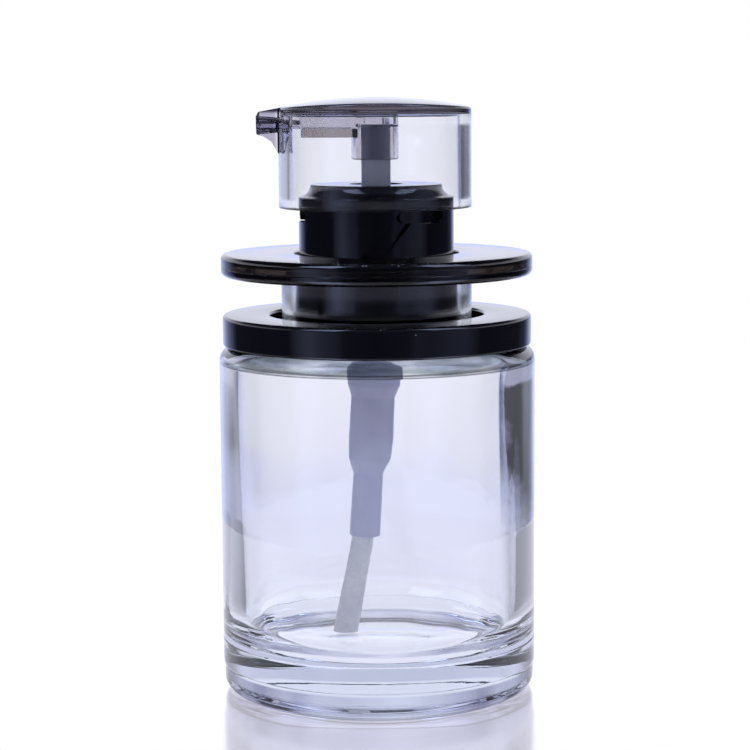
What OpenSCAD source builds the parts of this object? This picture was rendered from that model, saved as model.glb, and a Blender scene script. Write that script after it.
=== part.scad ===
// Foundation bottle, 30 ml: a heavy glass bottle with a spring pump and a turning lock ring.
//
// The origin is the centre of the base, +Z is up and the spout points along -X. Millimetres.
// The ring stands in the shoulder collar's recess and turns there. Ribs in its bore turn the
// guide sleeve, whose sloping slots climb on pegs of the fixed closure, so the sleeve and its
// cap rise under the actuator and stop it from being pressed.

/* [Glass bottle] */
// Outside diameter of the glass body
body_d = 39; // [38.6:0.1:42]
// Height of the glass shoulder above the table
shoulder_z = 43; // [42:0.5:46]
// Thickness of the side wall
wall_t = 2.6; // [2:0.1:3]
// Thickness of the heavy base
base_t = 6.1; // [5:0.1:8]
// Outside diameter of the neck
neck_d = 14.6; // [14:0.1:15]
// Height of the neck above the shoulder
neck_h = 10.6; // [10.2:0.1:10.8]

/* [Shoulder collar] */
// Outside diameter of the black shoulder collar
collar_d = 38.1; // [37:0.1:38.4]
// Height of the collar
collar_h = 3.8; // [3.4:0.1:4.2]
// Diameter of the recess that the clear sleeve turns in
recess_d = 26.4; // [26:0.1:28]

/* [Lock ring] */
// Outside diameter of the smoked ring
ring_d = 38.4; // [36:0.1:38.4]
// Height of the ring's underside above the table
ring_z = 51.7; // [51.5:0.1:51.9]
// Thickness of the ring, both shells together
ring_t = 2.7; // [2.6:0.1:2.8]
// Outside diameter of the clear sleeve below the ring
clear_d = 23.5; // [23:0.1:25]
// Number of snap bosses between the ring's shells
boss_count = 8; // [4:1:12]

/* [Guide sleeve and lift] */
// Angle that the ring turns from open to locked, in degrees
turn_deg = 27; // [20:1:27]
// Height that the guide sleeve climbs over that turn
lift_h = 5.35; // [4:0.05:5.35]
// Number of sloping slots and pegs
slot_count = 3; // [2:1:3]
// Angle of the first peg from the front, towards the right, in degrees
peg_deg = 22; // [15:1:30]

/* [Actuator] */
// Outside diameter of the actuator's skirt
act_d = 23.6; // [23.4:0.1:24]
// Height of the skirt's lower edge above the table
skirt_z = 60; // [59.8:0.1:60.4]
// Height of the crown above the table, which is the height of the whole object
top_z = 73.4; // [73.2:0.1:74]
// Reach of the spout's tip from the axis
spout_x = 14.2; // [13.5:0.1:15]

/* [Pump] */
// Travel of the actuator from rest to the bottom of its stroke
stroke = 5; // [3:0.5:5]
// Diameter of the pump stem
stem_d = 3.6; // [3.4:0.1:3.8]
// Diameter of the pump chamber
chamber_d = 5.5; // [5.3:0.1:5.6]
// Diameter of the dip tube
tube_d = 2.9; // [2.6:0.1:3]
// Lean of the lower housing towards the spout side, in degrees
lean_deg = 3; // [0:0.5:4]
// Lean of the free dip tube towards the spout side, in degrees
tube_deg = 11; // [4:0.5:12]

/* [Hidden] */
$fn = 96;
eps = 0.01;
run = 0.08;                       // radial clearance of a running fit

body_r = body_d / 2;
cavity_r = body_r - wall_t;
ceiling_z = shoulder_z - 1.8;     // top of the cavity, under the shoulder
neck_r = neck_d / 2;
neck_bore_r = 5.2;
neck_z = shoulder_z + neck_h;
bead_z = neck_z - 2.2;            // snap bead that holds the closure
bead_r = 0.45;

collar_z = shoulder_z + 0.1;
collar_top = collar_z + collar_h;
floor_z = collar_z + 1.1;         // floor of the collar's recess

closure_r = 8.75;
closure_in = neck_r + bead_r + 0.05;
closure_top = 60.2;
peg_z = 59.2;
peg_r = 0.8;

sleeve_in = closure_r + run;
sleeve_r = 9.54;                  // upper, slotted part
foot_r = 10.07;                   // lower, thicker part
foot_z = 54;                      // step between the two
sleeve_z = floor_z + 0.3;
sleeve_top = 60.3;
slot_w = 15.4;                    // width of a sloping slot, in degrees
slot_slope = lift_h / turn_deg;   // millimetres per degree
ledge_z = 58.36;                  // lower edge of a slot's pocket
pocket_deg = 50.5;                // centre of the pocket's round end
key_w = 1.2;
key_in = 9.8;

plateau_z = 62.9;
plateau_r = 8.1;
cap_hole_r = 3.2;

ring_r = ring_d / 2;
ring_bore = foot_r + run;
seam_z = ring_z + 1.1;            // seam between the ring's shells
ring_top = ring_z + ring_t;
clear_r = clear_d / 2;
clear_in = clear_r - 1.25;
boss_ring = ring_r - 1.9;

act_r = act_d / 2;
act_in = act_r - 1.25;
plate_z = 71.65;                  // underside of the actuator's top plate
crown_x = 58;                     // radius of the crown along the spout
crown_y = 107;                    // radius of the crown across the spout
socket_r = 2.88;
socket_z = 65.9;
stem_top = 70.25;
bar_z = 68.6;                     // underside of the channel bar
bar_t = 1.05;
bar_end = 9.2;
channel_w = 1.6;
channel_y = 1.7;                  // half width of the channel's rib
channel_top = 71.2;
outlet_z = 70.4;
outlet_r = 0.7;

stem_r = stem_d / 2;
stem_low_r = 1.3;
stem_bore = 0.9;
chamber_r = chamber_d / 2;
gasket_t = 0.8;
flange_z = neck_z + gasket_t;
flange_t = 1.2;
flange_r = 7.2;
guide_z = flange_z + flange_t;
guide_t = 1;
guide_low = guide_z - 1;          // stop for the piston
turret_z = 58.6;
barrel_r = 3.5;
barrel_z = 38.8;                  // end of the wide part of the housing
throat_r = 3.35;                  // top of the leaning part, inside the barrel's end
waist_r = 3.02;
waist_z = 37;
neck_low = 28.9;                  // the housing narrows to its tail from here
tail_top = 27.5;
tail_r = 2;
tail_z = 19.1;
lean_z = 41.5;                    // where the housing starts to lean
cage_z = 42.5;
cage_t = 0.4;
pocket_r = 1.7;
seat_z = 39.7;
seat_h = 0.9;                     // height of the ball's conical seat
inlet_r = 0.8;
ball_r = 1.25;
ball_z = seat_z + 1;
wire_r = 0.2;
spring_r = 2;
spring_turns = 5.5;
spring_z = cage_z + cage_t;       // lower end of the spring
spring_shut = 2.4;                // its length with the actuator pressed right down
pin_z = spring_z + spring_shut + stroke;
pin_flange = 0.5;
piston_z = pin_z + 1.1;
piston_h = 2.1;
piston_slip = 1;                  // gap that lets the piston slide on the stem
tube_r = tube_d / 2;
tube_bore = 0.95;
tube_in = 5.5;                    // length of the tube inside the housing's tail
tube_bend = 15;                   // radius of the tube's bend
tube_run = 10.4;                  // straight length below the bend
tube_sides = 16;
tube_rings = 8;

// A rectangle of a lathe profile, from radius x0 to x1 and from height z0 to z1.
module band(x0, x1, z0, z1) {
    translate([x0, z0]) square([x1 - x0, z1 - z0]);
}

// What is cut off a profile's corner at (x, z) to round it to radius r.
// The corner points towards (sx, sz), each 1 or -1.
module corner(x, z, r, sx, sz) {
    difference() {
        translate([x - sx * r / 2, z - sz * r / 2]) square(r + 2 * eps, center = true);
        translate([x - sx * r, z - sz * r]) circle(r);
    }
}

// Turns a profile about the Z axis.
module lathe() {
    rotate_extrude() intersection() {
        band(0, 60, -10, 90);
        children();
    }
}

// Places its children at an angle from the front, towards the right.
module at_front(deg) {
    rotate([0, 0, deg - 90]) children();
}

// A pin along a radius, from radius r0 to r1 at height z.
module radial_pin(r, r0, r1, z) {
    translate([r0, 0, z]) rotate([0, 90, 0]) cylinder(r = r, h = r1 - r0);
}

// An outline (across, up) pushed through the sleeve's wall on the +X side.
module radial_prism() {
    translate([8, 0, 0]) rotate([90, 0, 90]) linear_extrude(height = foot_r - 7) children();
}

// A block on the +X side, from radius r0 to r1, of width w.
module radial_block(r0, r1, w, z0, z1) {
    translate([r0, -w / 2, z0]) cube([r1 - r0, w, z1 - z0]);
}

module glass_bottle() {
    dish_r = 141;                 // radius of the hollow under the base
    dish_h = 0.8;
    dome_r = 60;                  // radius of the rise in the cavity's floor
    dome_h = 0.5;
    color([0.86, 0.87, 0.93, 0.4]) lathe() {
        difference() {
            union() {
                difference() {
                    band(0, body_r, 0, shoulder_z);
                    corner(body_r, 0, 1.8, 1, -1);
                    corner(body_r, shoulder_z, 1.4, 1, 1);
                }
                band(0, neck_r, shoulder_z - 1, neck_z);
                translate([neck_r, bead_z]) circle(bead_r);
            }
            difference() {
                union() {
                    difference() {
                        band(0, cavity_r, base_t, ceiling_z);
                        corner(cavity_r, base_t, 4, 1, -1);
                        corner(cavity_r, ceiling_z, 2, 1, 1);
                    }
                    band(0, neck_bore_r, ceiling_z - 1, neck_z + 1);
                }
                translate([0, base_t + dome_h - dome_r]) circle(dome_r, $fn = 360);
            }
            translate([0, dish_h - dish_r]) circle(dish_r, $fn = 360);
        }
    }
}

module shoulder_collar() {
    color([0.05, 0.05, 0.08]) lathe() {
        difference() {
            band(recess_d / 2, collar_d / 2, collar_z, collar_top);
            corner(collar_d / 2, collar_top, 0.4, 1, 1);
            corner(collar_d / 2, collar_z, 0.3, 1, -1);
            corner(recess_d / 2, collar_top, 0.3, -1, 1);
        }
        band(neck_r + 0.3, recess_d / 2 + eps, collar_z, floor_z);
    }
}

// The fixed inner closure: it snaps over the neck's bead, clamps the pump and carries the pegs.
module snap_closure() {
    shelf_z = guide_z + guide_t;
    color([0.04, 0.04, 0.06]) {
        lathe() difference() {
            union() {
                band(closure_in, closure_r, floor_z, closure_top);
                band(3.3, closure_r, shelf_z, shelf_z + 1.2);
            }
            translate([neck_r, bead_z]) circle(bead_r + 0.1);
            corner(closure_r, closure_top, 0.2, 1, 1);
        }
        for (i = [0 : slot_count - 1])
            at_front(peg_deg + i * 360 / slot_count)
                radial_pin(peg_r, closure_in + 0.3, sleeve_r - 0.12, peg_z);
    }
}

module neck_gasket() {
    color([0.9, 0.9, 0.88]) lathe() band(barrel_r + 0.1, flange_r, neck_z, flange_z);
}

// Tilts its children about the point where the housing starts to lean.
module leaned() {
    translate([0, 0, lean_z]) rotate([0, lean_deg, 0]) translate([0, 0, -lean_z]) children();
}

module pump_housing() {
    color([0.66, 0.69, 0.78]) difference() {
        union() {
            lathe() {
                band(0, flange_r, flange_z, guide_z);
                band(0, barrel_r, barrel_z, flange_z + eps);
            }
            leaned() {
                translate([0, 0, waist_z]) cylinder(r1 = waist_r, r2 = throat_r, h = barrel_z - waist_z);
                translate([0, 0, barrel_z - eps]) cylinder(r = throat_r, h = 0.6);
                translate([0, 0, neck_low]) cylinder(r = waist_r, h = waist_z - neck_low + eps);
                translate([0, 0, tail_top]) cylinder(r1 = tail_r, r2 = waist_r, h = neck_low - tail_top);
                translate([0, 0, tail_z]) cylinder(r1 = tail_r + 0.1, r2 = tail_r, h = tail_top - tail_z);
            }
        }
        translate([0, 0, cage_z]) cylinder(r = chamber_r, h = 20);
        translate([0, 0, seat_z + seat_h]) cylinder(r = pocket_r, h = 2);
        translate([0, 0, seat_z]) cylinder(r1 = inlet_r, r2 = pocket_r, h = seat_h + eps);
        translate([0, 0, seat_z - 2]) cylinder(r = inlet_r, h = 2 + eps);
        leaned() {
            translate([0, 0, tail_z + tube_in - 1])
                cylinder(r = tube_bore, h = seat_z - 0.7 - tail_z - tube_in);
            translate([0, 0, tail_z - 1]) cylinder(r = tube_r, h = tube_in + 1);
        }
    }
}

// The insert that closes the chamber: it guides the stem and stops the piston.
module stem_guide() {
    color([0.88, 0.88, 0.9]) lathe() difference() {
        union() {
            band(0, flange_r - 0.2, guide_z, guide_z + guide_t);
            band(0, chamber_r - 0.03, guide_low, guide_z + eps);
            band(0, 2.9, guide_z, turret_z);
        }
        band(-1, stem_r + run, guide_low - 1, turret_z + 1);
        corner(2.9, turret_z, 0.3, 1, 1);
    }
}

module ball_cage() {
    color([0.85, 0.85, 0.87]) difference() {
        translate([0, 0, cage_z]) cylinder(r = chamber_r - 0.03, h = cage_t);
        translate([0, 0, cage_z - 1]) cylinder(r = 0.75, h = 3);
        for (i = [0 : 2]) rotate([0, 0, 120 * i])
            translate([1.2, 0, cage_z - 1]) cylinder(r = 0.35, h = 3);
    }
}

module inlet_ball() {
    color([0.75, 0.76, 0.78]) translate([0, 0, ball_z]) sphere(r = ball_r);
}

// Height of the spring's wire at a share t of its length: the end turns lie close together.
function spring_rise(t) =
    let (
        dead = 0.75 / spring_turns,
        pitch_end = 2 * wire_r / (pin_z - spring_z - 2 * wire_r) * spring_turns
    )
    t < dead ? t * pitch_end
    : t > 1 - dead ? 1 - (1 - t) * pitch_end
    : dead * pitch_end + (t - dead) / (1 - 2 * dead) * (1 - 2 * dead * pitch_end);

module pump_spring() {
    sides = 8;
    rings = 16 * spring_turns;
    low = spring_z + wire_r;
    high = pin_z - wire_r;
    points = [
        for (i = [0 : rings])
            let (t = i / rings, a = 360 * spring_turns * t, z = low + (high - low) * spring_rise(t))
            for (j = [0 : sides - 1])
                let (b = 360 * j / sides, r = spring_r + wire_r * cos(b))
                [r * cos(a), r * sin(a), z + wire_r * sin(b)]
    ];
    walls = [
        for (i = [0 : rings - 1], j = [0 : sides - 1])
            let (k = (j + 1) % sides)
            [i * sides + j, i * sides + k, (i + 1) * sides + k, (i + 1) * sides + j]
    ];
    ends = [
        [for (j = [sides - 1 : -1 : 0]) j],
        [for (j = [0 : sides - 1]) rings * sides + j],
    ];
    color([0.7, 0.7, 0.73]) polyhedron(points = points, faces = concat(walls, ends));
}

// The dip tube's centre line: a share of each ring's way along the tail, the bend and the free
// length, as [x, z, lean]. It starts inside the housing's tail and ends over the cavity's floor.
function tube_ring(i) =
    let (
        d = lean_deg, bent = tube_deg - lean_deg, drop = lean_z - tail_z,
        tail = [-drop * sin(d), lean_z - drop * cos(d)],
        centre = tail + tube_bend * [-cos(d), sin(d)],
        a = d + bent * min(max(i - 1, 0) / (tube_rings - 2), 1),
        on_bend = centre + tube_bend * [cos(a), -sin(a)],
        along = i == 0 ? -tube_in : i == tube_rings ? tube_run : 0
    )
    [on_bend[0] - along * sin(a), on_bend[1] - along * cos(a), a];

// One ring of points round the centre line. The last ring is level, which cuts the tube's end
// at a slant.
function tube_points(i, r) =
    let (c = tube_ring(i), last = i == tube_rings, tilt = last ? 0 : c[2], long = last ? 1 / cos(c[2]) : 1)
    [for (j = [0 : tube_sides - 1])
        let (b = 360 * j / tube_sides, u = r * cos(b) * long)
        [c[0] + u * cos(tilt), r * sin(b), c[1] - u * sin(tilt)]];

module dip_tube() {
    sides = tube_sides;
    outer = [for (i = [0 : tube_rings]) each tube_points(i, tube_r)];
    inner = [for (i = [0 : tube_rings]) each tube_points(i, tube_bore)];
    n = len(outer);
    walls = [
        for (i = [0 : tube_rings - 1], j = [0 : sides - 1])
            let (k = (j + 1) % sides, p = i * sides + j, q = i * sides + k)
            each [
                [p, p + sides, q + sides, q],
                [n + p, n + q, n + q + sides, n + p + sides],
            ]
    ];
    rims = [
        for (j = [0 : sides - 1])
            let (k = (j + 1) % sides, e = tube_rings * sides)
            each [[j, k, n + k, n + j], [e + j, n + e + j, n + e + k, e + k]]
    ];
    color([0.86, 0.88, 0.95])
        polyhedron(points = concat(outer, inner), faces = concat(walls, rims));
}

module pump_stem() {
    color([0.62, 0.62, 0.66]) difference() {
        lathe() difference() {
            union() {
                band(0, stem_r, piston_z + piston_h + piston_slip, stem_top);
                band(0, stem_low_r, pin_z + pin_flange, piston_z + piston_h + 1);
            }
            band(-1, stem_bore, pin_z, stem_top + 1);
            corner(stem_r, stem_top, 0.25, 1, 1);
        }
        for (a = [0, 90]) rotate([0, 0, a])
            translate([-3, 0, pin_z + pin_flange + 0.65]) rotate([0, 90, 0]) cylinder(r = 0.25, h = 6);
    }
}

// The piston closes the stem's ports against the pin's flange, and its two lips seal against the
// chamber. It slides up a little on the stem at the start of a stroke, which opens the ports.
module piston() {
    lip_r = chamber_r - 0.05;
    color([0.93, 0.93, 0.93]) lathe() {
        band(stem_low_r + 0.03, stem_low_r + 0.5, pin_z + pin_flange + 0.05, piston_z + piston_h);
        band(stem_low_r + 0.03, lip_r - 0.3, piston_z + 1.3, piston_z + 1.9);
        difference() {
            band(lip_r - 0.4, lip_r, piston_z + 0.2, piston_z + piston_h);
            corner(lip_r - 0.4, piston_z + 0.2, 0.2, -1, -1);
            corner(lip_r - 0.4, piston_z + piston_h, 0.2, -1, 1);
        }
    }
}

// The pin plugs the stem's lower end, and its flange takes the spring.
module plunger_pin() {
    color([0.88, 0.9, 0.93]) lathe() {
        band(0, 2.3, pin_z, pin_z + pin_flange);
        band(0, stem_bore, pin_z + pin_flange - eps, pin_z + pin_flange + 0.35);
        difference() {
            band(0, 1.1, pin_z - 1.3, pin_z + eps);
            corner(1.1, pin_z - 1.3, 0.4, 1, -1);
        }
    }
}

// One sloping slot with the level pocket at its top, cut through the guide sleeve.
module cam_slot() {
    mm_per_deg = sleeve_r * PI / 180;
    half = mm_per_deg * slot_w / 2;
    high_z = sleeve_top + 0.5;
    low_z = peg_z - lift_h - peg_r - 0.3;
    mid_z = peg_z - lift_h / 2;
    pocket_mid = (peg_deg + pocket_deg) / 2;
    pocket_half = sleeve_r * sin(pocket_deg - pocket_mid);
    function across(z) = (z - mid_z) * mm_per_deg / slot_slope;
    at_front(peg_deg - turn_deg / 2) radial_prism() polygon([
        [across(low_z) - half, low_z], [across(low_z) + half, low_z],
        [across(high_z) + half, high_z], [across(high_z) - half, high_z],
    ]);
    at_front(pocket_mid) radial_prism() polygon([
        [-pocket_half, ledge_z],
        for (a = [0 : 30 : 90]) [pocket_half + sin(a), ledge_z + 1 - cos(a)],
        [pocket_half + 1, high_z], [-pocket_half, high_z],
    ]);
}

module guide_sleeve() {
    color([0.05, 0.05, 0.07]) difference() {
        lathe() {
            band(sleeve_in, sleeve_r, foot_z - 1, sleeve_top);
            band(sleeve_in, foot_r, sleeve_z, foot_z);
        }
        for (i = [0 : slot_count - 1]) rotate([0, 0, i * 360 / slot_count]) {
            cam_slot();
            at_front(peg_deg + 60)
                radial_block(key_in - 0.1, foot_r + 1, key_w + 0.2, sleeve_z - 1, foot_z - 1);
        }
    }
}

// The black cap of the guide sleeve: a flat top, a hollow flank and a short rim.
module sleeve_cap() {
    flank_r = 1.5;
    color([0.05, 0.05, 0.08]) lathe() difference() {
        band(cap_hole_r, sleeve_r, sleeve_top, plateau_z);
        translate([plateau_r + flank_r, plateau_z]) circle(flank_r);
        band(cap_hole_r - 1, 7.4, sleeve_top - 1, plateau_z - 0.9);
        corner(sleeve_r, sleeve_top, 0.25, 1, -1);
        corner(cap_hole_r, plateau_z, 0.2, -1, 1);
    }
}

module ring_top_shell() {
    plate_t = 0.9;
    color([0.3, 0.26, 0.25, 0.8]) {
        lathe() difference() {
            band(ring_bore, ring_r, seam_z, ring_top);
            band(ring_bore + 1.1, ring_r - 1, seam_z - 1, ring_top - plate_t);
            corner(ring_r, ring_top, 0.6, 1, 1);
            corner(ring_bore, ring_top, 0.2, -1, 1);
        }
        for (i = [0 : boss_count - 1])
            at_front(i * 360 / boss_count - 13) translate([boss_ring, 0, seam_z])
                cylinder(r = 0.5, h = ring_top - plate_t - seam_z + eps);
    }
}

module ring_base_plate() {
    color([0.3, 0.26, 0.25, 0.8]) {
        lathe() difference() {
            band(ring_bore, ring_r, ring_z, seam_z);
            corner(ring_r, ring_z, 0.8, 1, -1);
        }
        for (i = [0 : slot_count - 1])
            at_front(peg_deg + 60 + i * 360 / slot_count)
                radial_block(key_in, ring_bore + 0.3, key_w, ring_z, seam_z);
    }
}

module clear_sleeve() {
    color([0.75, 0.75, 0.8, 0.4]) lathe() difference() {
        band(clear_in, clear_r, floor_z + 0.2, ring_z);
        corner(clear_r, floor_z + 0.2, 0.3, 1, -1);
    }
}

// The solid under the actuator's crown, which bends one way along the spout
// and less across it.
module crown_solid() {
    translate([0, 0, top_z - crown_y]) rotate([0, 90, 0])
        rotate_extrude($fn = 360) intersection() {
            translate([crown_y - crown_x, 0]) circle(crown_x, $fn = 360);
            translate([0, -20]) square([120, 40]);
        }
}

module spout() {
    root_x = act_in + 0.3;
    under_r = 2.3;
    intersection() {
        translate([0, 2.2, 0]) rotate([90, 0, 0]) linear_extrude(height = 4.4) difference() {
            polygon([
                [-root_x, 72.4], [-spout_x + 0.2, 71.5], [-spout_x, 71.2],
                [-spout_x, 69.2], [-act_r, 66.9], [-root_x, 66.9],
            ]);
            translate([-spout_x + 0.1, 66.8]) circle(under_r);
        }
        union() {
            translate([-spout_x + 1.5, 0, 60]) cylinder(r = 1.5, h = 20);
            translate([0, 0, 60]) linear_extrude(height = 20)
                polygon([[-spout_x + 1.1, -1.46], [-spout_x + 1.1, 1.46], [-root_x, 2.2], [-root_x, -2.2]]);
        }
    }
}

// The smoked actuator is one moulding: crown, skirt, spout, stem socket and channel rib.
module actuator_cap() {
    color([0.55, 0.53, 0.55, 0.5]) difference() {
        union() {
            difference() {
                intersection() {
                    translate([0, 0, skirt_z]) cylinder(r = act_r, h = top_z - skirt_z + 1);
                    crown_solid();
                }
                translate([0, 0, skirt_z - 1]) cylinder(r = act_in, h = plate_z - skirt_z + 1);
            }
            translate([0, 0, socket_z]) cylinder(r = socket_r, h = plate_z - socket_z + eps);
            translate([-act_in - 0.3, -channel_y, bar_z + bar_t])
                cube([act_in - 1.7, 2 * channel_y, plate_z - bar_z - bar_t + eps]);
            spout();
        }
        translate([0, 0, socket_z - 1]) cylinder(r = stem_r + 0.05, h = stem_top - socket_z + 1.05);
        translate([0, 0, socket_z]) cylinder(r = 1.3, h = channel_top - socket_z);
        translate([-bar_end, -channel_w / 2, bar_z])
            cube([bar_end, channel_w, channel_top - bar_z]);
        translate([-spout_x - 1, 0, outlet_z]) rotate([0, 90, 0])
            cylinder(r = outlet_r, h = spout_x);
    }
}

// The bar that closes the channel from below.
module channel_bar() {
    color([0.45, 0.42, 0.4, 0.7]) {
        translate([-bar_end, -channel_y, bar_z])
            cube([bar_end - socket_r + 0.1, 2 * channel_y, bar_t]);
        translate([-bar_end, -channel_w / 2, bar_z])
            cube([bar_end - socket_r, channel_w, bar_t + 0.2]);
    }
}

glass_bottle();
shoulder_collar();
snap_closure();
neck_gasket();
pump_housing();
stem_guide();
ball_cage();
inlet_ball();
pump_spring();
dip_tube();
pump_stem();
piston();
plunger_pin();
guide_sleeve();
sleeve_cap();
ring_top_shell();
ring_base_plate();
clear_sleeve();
actuator_cap();
channel_bar();
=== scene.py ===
"""The looks of the foundation bottle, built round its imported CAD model. Lengths are in millimetres
until a mesh is made, and +Z is up. The spout points along -X and the camera stands on -Y."""

import math

import bmesh
import bpy
from mathutils import Matrix, Vector, noise


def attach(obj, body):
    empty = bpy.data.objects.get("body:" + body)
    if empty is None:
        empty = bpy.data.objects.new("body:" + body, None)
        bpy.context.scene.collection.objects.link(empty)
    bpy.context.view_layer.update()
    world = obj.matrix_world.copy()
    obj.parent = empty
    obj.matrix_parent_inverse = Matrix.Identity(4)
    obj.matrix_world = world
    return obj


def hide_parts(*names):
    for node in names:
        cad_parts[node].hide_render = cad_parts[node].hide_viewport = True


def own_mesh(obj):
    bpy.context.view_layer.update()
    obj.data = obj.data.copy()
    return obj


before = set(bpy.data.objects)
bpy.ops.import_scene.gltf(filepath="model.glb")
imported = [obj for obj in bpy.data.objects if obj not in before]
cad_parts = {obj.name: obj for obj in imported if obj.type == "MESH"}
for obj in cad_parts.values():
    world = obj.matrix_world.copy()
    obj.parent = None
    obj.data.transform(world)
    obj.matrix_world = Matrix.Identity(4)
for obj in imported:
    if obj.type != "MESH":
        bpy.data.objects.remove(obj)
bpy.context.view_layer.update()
MM = 0.001
SEGMENTS = 256
scene = bpy.context.scene

BODY_R, SHOULDER_Z, CAVITY_R, FLOOR_Z, CEILING_Z = 19.5, 43.0, 16.9, 6.1, 42.0
NECK_R, NECK_BORE, NECK_Z, BEAD_Z = 7.3, 5.2, 53.6, 51.4
COLLAR_R, COLLAR_LOW, COLLAR_HIGH = 19.05, 43.1, 46.9
SLEEVE_R, SLEEVE_BORE, SLEEVE_TOP = 9.54, 8.83, 60.3
RING_R, RING_BORE, RING_LOW, RING_SEAM, RING_HIGH = 19.2, 10.16, 51.7, 52.8, 54.4
SKIRT_R, SKIRT_Z, CROWN_Z = 11.84, 60, 73
STEM_R, STEM_BORE, STEM_TOP = 1.8, 0.9, 70.25
BARREL_R, BARREL_BORE = 3.5, 2.75
TUBE_R, TUBE_BORE, TUBE_BEND_R = 1.45, 0.95, 15
# the pegs of the closure, which the guide sleeve's slots ride on
PEG_Z, PEG_DEG, PEG_R = 59.2, 22, 0.8
LIFT, LOCK_TURN = 5.35, 27
# the pump's lower part leans about a point below the neck, and stands a little to the left
LEAN_DEG, LEAN_Z, PUMP_SHIFT = 3, 41.5, -0.33
ACTUATOR_SHIFT = -0.1


# ---------------------------------------------------------------- shapes


def rounded(corners, step=12):
    """A closed outline of (x, y) from corners of (x, y, radius), with each corner rounded."""
    out = []
    for i, (x, y, r) in enumerate(corners):
        p = Vector((x, y))
        if r <= 0:
            out.append((x, y))
            continue
        a = (Vector(corners[i - 1][:2]) - p).normalized()
        b = (Vector(corners[(i + 1) % len(corners)][:2]) - p).normalized()
        half = a.angle(b) / 2
        centre = p + (a + b).normalized() * (r / math.sin(half))
        start, end = p + a * (r / math.tan(half)), p + b * (r / math.tan(half))
        a0 = math.atan2(start.y - centre.y, start.x - centre.x)
        turn = math.atan2(end.y - centre.y, end.x - centre.x) - a0
        turn = (turn + math.pi) % (2 * math.pi) - math.pi
        n = max(2, math.ceil(abs(math.degrees(turn)) / step))
        for k in range(n + 1):
            t = a0 + turn * k / n
            out.append((centre.x + r * math.cos(t), centre.y + r * math.sin(t)))
    return out


def arc(cx, cy, r, a0, a1, n):
    """Points of an arc from angle a0 to a1 in degrees."""
    angles = [math.radians(a0 + (a1 - a0) * k / n) for k in range(n + 1)]
    return [(cx + r * math.cos(a), cy + r * math.sin(a)) for a in angles]


def split(outline, longest):
    """The outline with its long edges cut into pieces."""
    out = []
    for (x0, y0), (x1, y1) in zip(outline, outline[1:] + outline[:1]):
        n = max(1, math.ceil(math.dist((x0, y0), (x1, y1)) / longest))
        out += [(x0 + (x1 - x0) * k / n, y0 + (y1 - y0) * k / n) for k in range(n)]
    return out


def made(name, bm, material, sharp=30):
    """A smooth-shaded object from bm, with its edges sharper than that angle kept sharp."""
    bmesh.ops.recalc_face_normals(bm, faces=bm.faces)
    for f in bm.faces:
        f.smooth = True
    for e in bm.edges:
        if len(e.link_faces) == 2 and e.calc_face_angle(0) > math.radians(sharp):
            e.smooth = False
    mesh = bpy.data.meshes.new(name)
    bm.to_mesh(mesh)
    bm.free()
    obj = bpy.data.objects.new(name, mesh)
    scene.collection.objects.link(obj)
    mesh.materials.append(material)
    return obj


def lathe(bm, outline, segments=None, shift=None):
    """Turns a closed outline of (r, z) about the Z axis. shift(r, z, angle) gives a changed r and z."""
    n = segments or SEGMENTS
    rings = []
    for r, z in outline:
        if r < 1e-6:
            rings.append([bm.verts.new((0, 0, z * MM))])
            continue
        ring = []
        for k in range(n):
            a = 2 * math.pi * k / n
            rr, zz = shift(r, z, a) if shift else (r, z)
            ring.append(bm.verts.new((rr * math.cos(a) * MM, rr * math.sin(a) * MM, zz * MM)))
        rings.append(ring)
    for a, b in zip(rings, rings[1:] + rings[:1]):
        if len(a) == 1 and len(b) == 1:
            continue
        for k in range(n):
            j = (k + 1) % n
            corners = [a[k % len(a)], a[j % len(a)], b[j % len(b)], b[k % len(b)]]
            bm.faces.new(list(dict.fromkeys(corners)))
    return bm


def place(obj, body, slot, *nodes):
    """Makes obj ride on a body, in place of CAD nodes. slot is not used."""
    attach(obj, body)
    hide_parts(*nodes)
    return obj


# ---------------------------------------------------------------- materials


def tree(name):
    """A new material, its nodes and its shader."""
    m = bpy.data.materials.new(name)
    m.use_nodes = True
    nt = m.node_tree
    shader = nt.nodes["Principled BSDF"]
    return m, nt, shader


def node(nt, kind, **inputs):
    """A new node. Each input is a socket or a plain value, and _ stands for a space in its name."""
    n = nt.nodes.new(kind)
    for key, value in inputs.items():
        key = key.replace("_", " ")
        if isinstance(value, bpy.types.NodeSocket):
            nt.links.new(value, n.inputs[key])
        else:
            n.inputs[key].default_value = value
    return n


def math_node(nt, op, *values):
    n = nt.nodes.new("ShaderNodeMath")
    n.operation = op
    for i, v in enumerate(values):
        if isinstance(v, bpy.types.NodeSocket):
            nt.links.new(v, n.inputs[i])
        else:
            n.inputs[i].default_value = v
    return n.outputs[0]


def ramp(nt, value, stops):
    """A colour for a value from 0 to 1. Each stop is (value, colour or grey)."""
    n = nt.nodes.new("ShaderNodeValToRGB")
    nt.links.new(value, n.inputs[0])
    e = n.color_ramp.elements
    while len(e) < len(stops):
        e.new(0.5)
    for el, (pos, col) in zip(e, stops):
        el.position = pos
        el.color = (col, col, col, 1) if isinstance(col, float) else (*col, 1)
    return n.outputs["Color"]


def mixed(nt, factor, a, b, blend="MIX"):
    """A mix of two colours. Each value is a socket or a plain value."""
    n = nt.nodes.new("ShaderNodeMixRGB")
    n.blend_type = blend
    for socket, value in zip(n.inputs, (factor, a, b)):
        if isinstance(value, bpy.types.NodeSocket):
            nt.links.new(value, socket)
        else:
            socket.default_value = value
    return n.outputs[0]


def rising(nt, value, low, high, most=1.0):
    """0 where value is up to low, rising evenly to most where it is high or above."""
    n = node(nt, "ShaderNodeMapRange", Value=value, From_Min=low, From_Max=high, To_Max=most)
    return n.outputs["Result"]


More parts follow.
